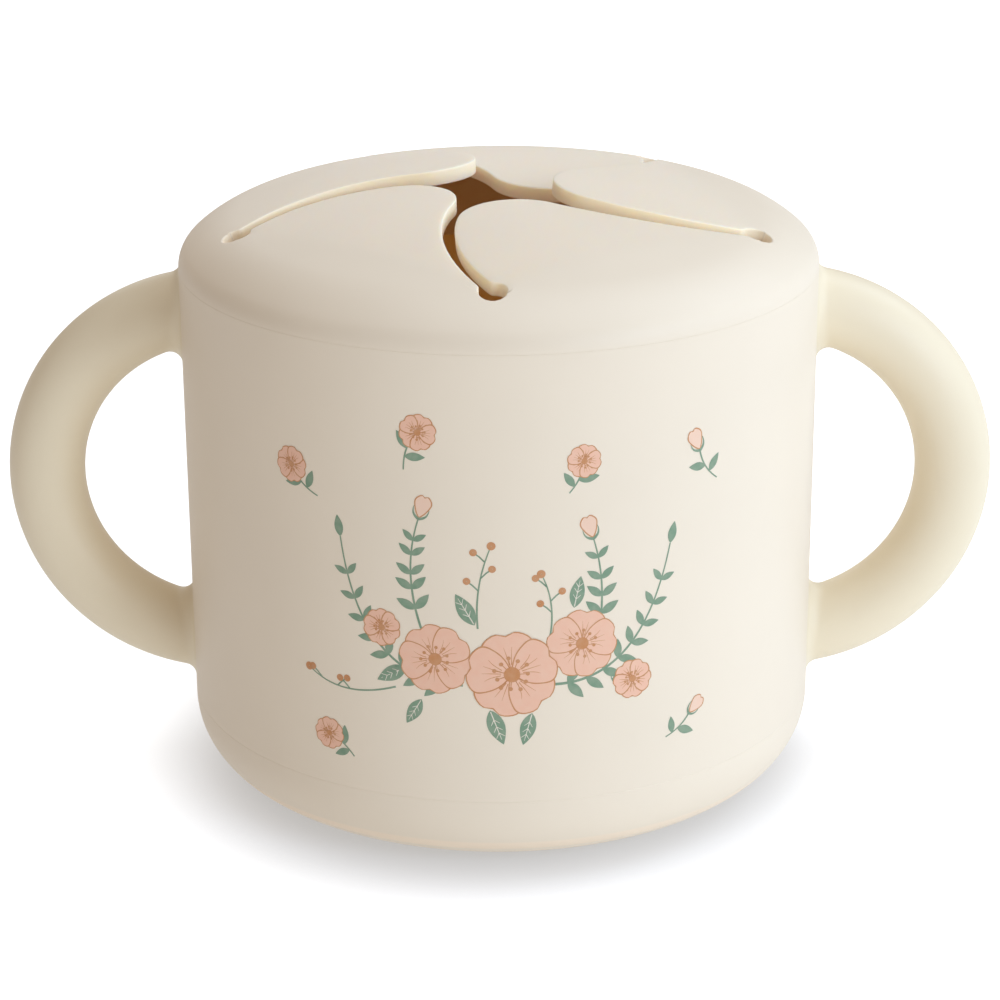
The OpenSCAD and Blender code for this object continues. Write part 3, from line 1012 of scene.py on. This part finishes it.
def silicone(name, tint, rough, lid=False, glow=0.0):
    mat, shader = finish(name, rough, SATIN)
    where = added(mat, "TexCoord").outputs["Object"]
    cloud = added(mat, "TexNoise", {"Scale": CLOUDS, "Detail": 3.0, "Vector": where})
    ramp = added(mat, "ValToRGB", {"Fac": cloud.outputs["Fac"]})
    for stop, place, share in zip(ramp.color_ramp.elements, (0.3, 0.7), (CLOUD_DARK, 1.0)):
        stop.position, stop.color = place, (*[c * share for c in tint], 1)
    colour = ramp.outputs["Color"]
    if lid:
        soak = added(mat, "Attribute", attribute_name="soak").outputs["Fac"]
        cut = added(mat, "Attribute", attribute_name="cut").outputs["Fac"]
        # Painted light on the slit walls: their colour goes lighter and warmer, and they glow
        # faintly, in place of light coming through the silicone.
        colour = added(mat, "Mix", {"Factor": cut, "A": colour, "B": (*PAINTED_SLIT_LIGHT, 1)},
                       data_type="RGBA").outputs["Result"]
        fed(shader, {"Subsurface Weight": soak, "Subsurface Radius": SOAK_COLOURS,
                     "Subsurface Scale": SOAK_DEPTH * MM, "Emission Color": (*PAINTED_SLIT_LIGHT, 1),
                     "Emission Strength": times(mat, cut, PAINTED_SLIT_GLOW)})
    # Painted light: a warm glow painted on the inside of the cup, within the bore and above its
    # floor, in place of light that comes in through the walls.
    if glow:
        flat = added(mat, "VectorMath", {0: where, 1: (1, 1, 0)}, operation="MULTIPLY")
        radius = added(mat, "VectorMath", {0: flat.outputs["Vector"]}, operation="LENGTH")
        place = added(mat, "SeparateXYZ", {"Vector": where})
        inside = times(mat, between(mat, radius.outputs["Value"],
                                    BORE_FROM * MM, BORE_TO * MM, glow, 0.0),
                       between(mat, place.outputs["Z"],
                               FLOOR_FROM * MM, FLOOR_TO * MM, 0.0, 1.0))
        fed(shader, {"Emission Color": (*PAINTED_INSIDE_GLOW, 1), "Emission Strength": inside})
    grain = added(mat, "TexNoise", {"Scale": GRAIN, "Vector": where})
    bump = added(mat, "Bump", {"Strength": GRAIN_SHARE, "Distance": GRAIN_HEIGHT * MM,
                               "Height": grain.outputs["Fac"]})
    fed(shader, {"Base Color": colour, "Normal": bump.outputs["Normal"]})
    return mat


coated([cup_shell], silicone("cream_cup", CREAM, 0.5, glow=PAINTED_CUP_GLOW))
coated(grips, silicone("cream_handle", HONEY, 0.45))
coated([collar] + flaps, silicone("cream_lid", CREAM, 0.5, lid=True))

# %% [markdown]
# The ink is baked into the silicone, so it has the same satin finish. Its colour comes
# from the sheet's own colour attribute, with a faint mottle where the ink is thinner.

# %% Ink
MOTTLE, THIN = 900.0, 0.10  # size of the mottle, and its strength
ink, shader = finish("printed_ink", 0.5, SATIN)
inks = added(ink, "Attribute", attribute_name="ink").outputs["Color"]
where = added(ink, "TexCoord").outputs["Object"]
mottle = added(ink, "TexNoise", {"Scale": MOTTLE, "Detail": 4.0, "Vector": where})
thin = between(ink, mottle.outputs["Fac"], 0.35, 0.65, 0.0, THIN, "LINEAR")
mix = added(ink, "Mix", {"Factor": thin, "A": inks, "B": (*CREAM, 1)}, data_type="RGBA")
fed(shader, {"Base Color": mix.outputs["Result"]})
coated([floral_print], ink)

# %% [markdown]
# The stage is a light table: pale paper that glows and is lit from above as well. Its
# glow is a little stronger on the right. Close to the cup's base the glow is turned down:
# there the camera sees a painted soft shadow round the cup's foot, and less of the
# table's light reaches the cup. The fall-off goes by the distance from a point just left
# of the cup's axis and in front of it. A glow that makes the table look pale would wash
# out the cup's shaded side, so a Light Path node sets apart what the camera sees of the
# table and what lights the cup.

# %% The light table
PAPER, TABLE_GLOW = (0.35, 0.35, 0.35), (0.98, 0.985, 1.0)
TABLE_LIGHT, TABLE_SEEN = 0.597, 0.967  # what lights the cup, and what is seen
LIGHT_LEFT, LIGHT_RIGHT, LIGHT_REACH = 0.90, 1.04, 0.10  # the light's share on either side
# The dark foot: a painted shadow where the camera sees the table, and a dimmer glow where the
# table lights the cup.
FOOT_X, FOOT_Y = -1.0, -2.5  # middle of the dark foot, in mm
FOOT_DARK, FOOT_OPEN = 34.0, 56.0  # radii between which it fades
FOOT_LIGHT, FOOT_SEEN = 0.8, 0.38  # how much of each is left at the foot

nothing_selected()
bpy.ops.mesh.primitive_plane_add(size=4.0, location=(0, 0, 0))
floor = bpy.context.object
floor.name = "studio_floor"
paper, shader = finish("light_table", 0.9, 0.0)
where = added(paper, "TexCoord").outputs["Object"]
shift = added(paper, "VectorMath", {0: where, 1: (FOOT_X * MM, FOOT_Y * MM, 0)},
              operation="SUBTRACT").outputs["Vector"]
reach = added(paper, "VectorMath", {0: shift}, operation="LENGTH").outputs["Value"]
across = added(paper, "SeparateXYZ", {"Vector": where}).outputs["X"]


def foot_shadow_falloff(low, high):
    return between(paper, reach, FOOT_DARK * MM, FOOT_OPEN * MM, low, high)


lit = times(paper, foot_shadow_falloff(FOOT_LIGHT * TABLE_LIGHT, TABLE_LIGHT),
            between(paper, across, -LIGHT_REACH, LIGHT_REACH, LIGHT_LEFT, LIGHT_RIGHT, "LINEAR"))
ray = added(paper, "LightPath").outputs["Is Camera Ray"]
# What the camera sees of the table carries the painted soft shadow round the cup's foot.
total = added(paper, "Mix", {"Factor": ray, "A": lit,
                             "B": foot_shadow_falloff(FOOT_SEEN * TABLE_SEEN, TABLE_SEEN)})
fed(shader, {"Base Color": (*PAPER, 1), "Emission Color": (*TABLE_GLOW, 1),
             "Emission Strength": total.outputs["Result"]})
floor.data.materials.append(paper)
print("the table is", floor.dimensions.x, "m wide")

# %% [markdown]
# The empty room gives a weak, warm light from all sides. To the camera it looks white,
# so no line shows where the table ends.

# %% The room
ROOM_LIGHT, ROOM_TINT = 0.365, (1.0, 0.834, 0.704)
world = bpy.data.worlds.new("soft_surround")
bpy.context.scene.world = world
world.use_nodes = True
ray = added(world, "LightPath").outputs["Is Camera Ray"]
tone = added(world, "Mix", {"Factor": ray, "A": (*ROOM_TINT, 1), "B": (1, 1, 1, 1)},
             data_type="RGBA")
level = added(world, "Mix", {"Factor": ray, "A": ROOM_LIGHT, "B": 1.0})
fed(world.node_tree.nodes["Background"], {"Color": tone.outputs["Result"],
                                          "Strength": level.outputs["Result"]})
print("the room gives light of strength", ROOM_LIGHT)

# %% [markdown]
# The lamps are large soft discs, mostly on the right, so the cup darkens evenly towards
# its left side. They are a little blue and balance the warm room.

# %% The lamps
AIM = (0, 0, 0.04)  # the middle of the cup
LAMPS = (("key_right", (0.95, -0.75, 0.55), 0.6, 6.66, (0.62, 0.78, 1.0)),
         ("side_right", (1.2, 0.0, 0.35), 0.6, 1.83, (0.55, 0.73, 1.0)),
         ("top", (0.1, 0.25, 1.2), 0.8, 4.43, (0.853, 0.93, 1.0)),
         ("top_right", (0.75, 0.35, 0.9), 0.6, 3.96, (0.66, 0.82, 1.0)),
         ("front_right", (0.75, -1.1, 0.15), 0.6, 4.79, (0.81, 0.907, 1.0)),
         ("back", (-0.2, 1.2, 0.5), 0.8, 1.6, (0.79, 0.885, 1.0)))


def softbox(name, place, size, power, tint):
    lamp = bpy.data.lights.new(name, "AREA")
    lamp.shape, lamp.size, lamp.energy, lamp.color = "DISK", size, power, tint
    obj = bpy.data.objects.new(name, lamp)
    bpy.context.scene.collection.objects.link(obj)
    obj.location = place
    obj.rotation_euler = (Vector(AIM) - Vector(place)).to_track_quat("-Z", "Y").to_euler()


for lamp in LAMPS:
    softbox(*lamp)
print(len(LAMPS), "lamps give", round(sum(power for _, _, _, power, _ in LAMPS), 2), "W")

# %% [markdown]
# The camera stands in front of the cup and looks down at it at about 21 degrees.

# %% Camera
CAMERA_X, CAMERA_BACK, CAMERA_UP = -0.022, 404.4, 191.1  # its place, in mm
CAMERA_PITCH, CAMERA_ROLL = 0.364, 0.0063  # radians
CAMERA_F, SENSOR = 3.045, 36.0  # lens in widths of the sensor; mm
eye = bpy.data.cameras.new("eye")
camera = bpy.data.objects.new("eye", eye)
bpy.context.scene.collection.objects.link(camera)
eye.sensor_width = SENSOR
eye.lens = CAMERA_F * SENSOR
eye.clip_start = 0.01
camera.location = (CAMERA_X * MM, -CAMERA_BACK * MM, CAMERA_UP * MM)
camera.rotation_euler = (Matrix.Rotation(RIGHT - CAMERA_PITCH, 3, "X")
                         @ Matrix.Rotation(-CAMERA_ROLL, 3, "Z")).to_euler()
bpy.context.scene.camera = camera
bpy.context.scene.view_settings.view_transform = "Standard"
print("the camera looks down by", round(math.degrees(CAMERA_PITCH), 1), "degrees")
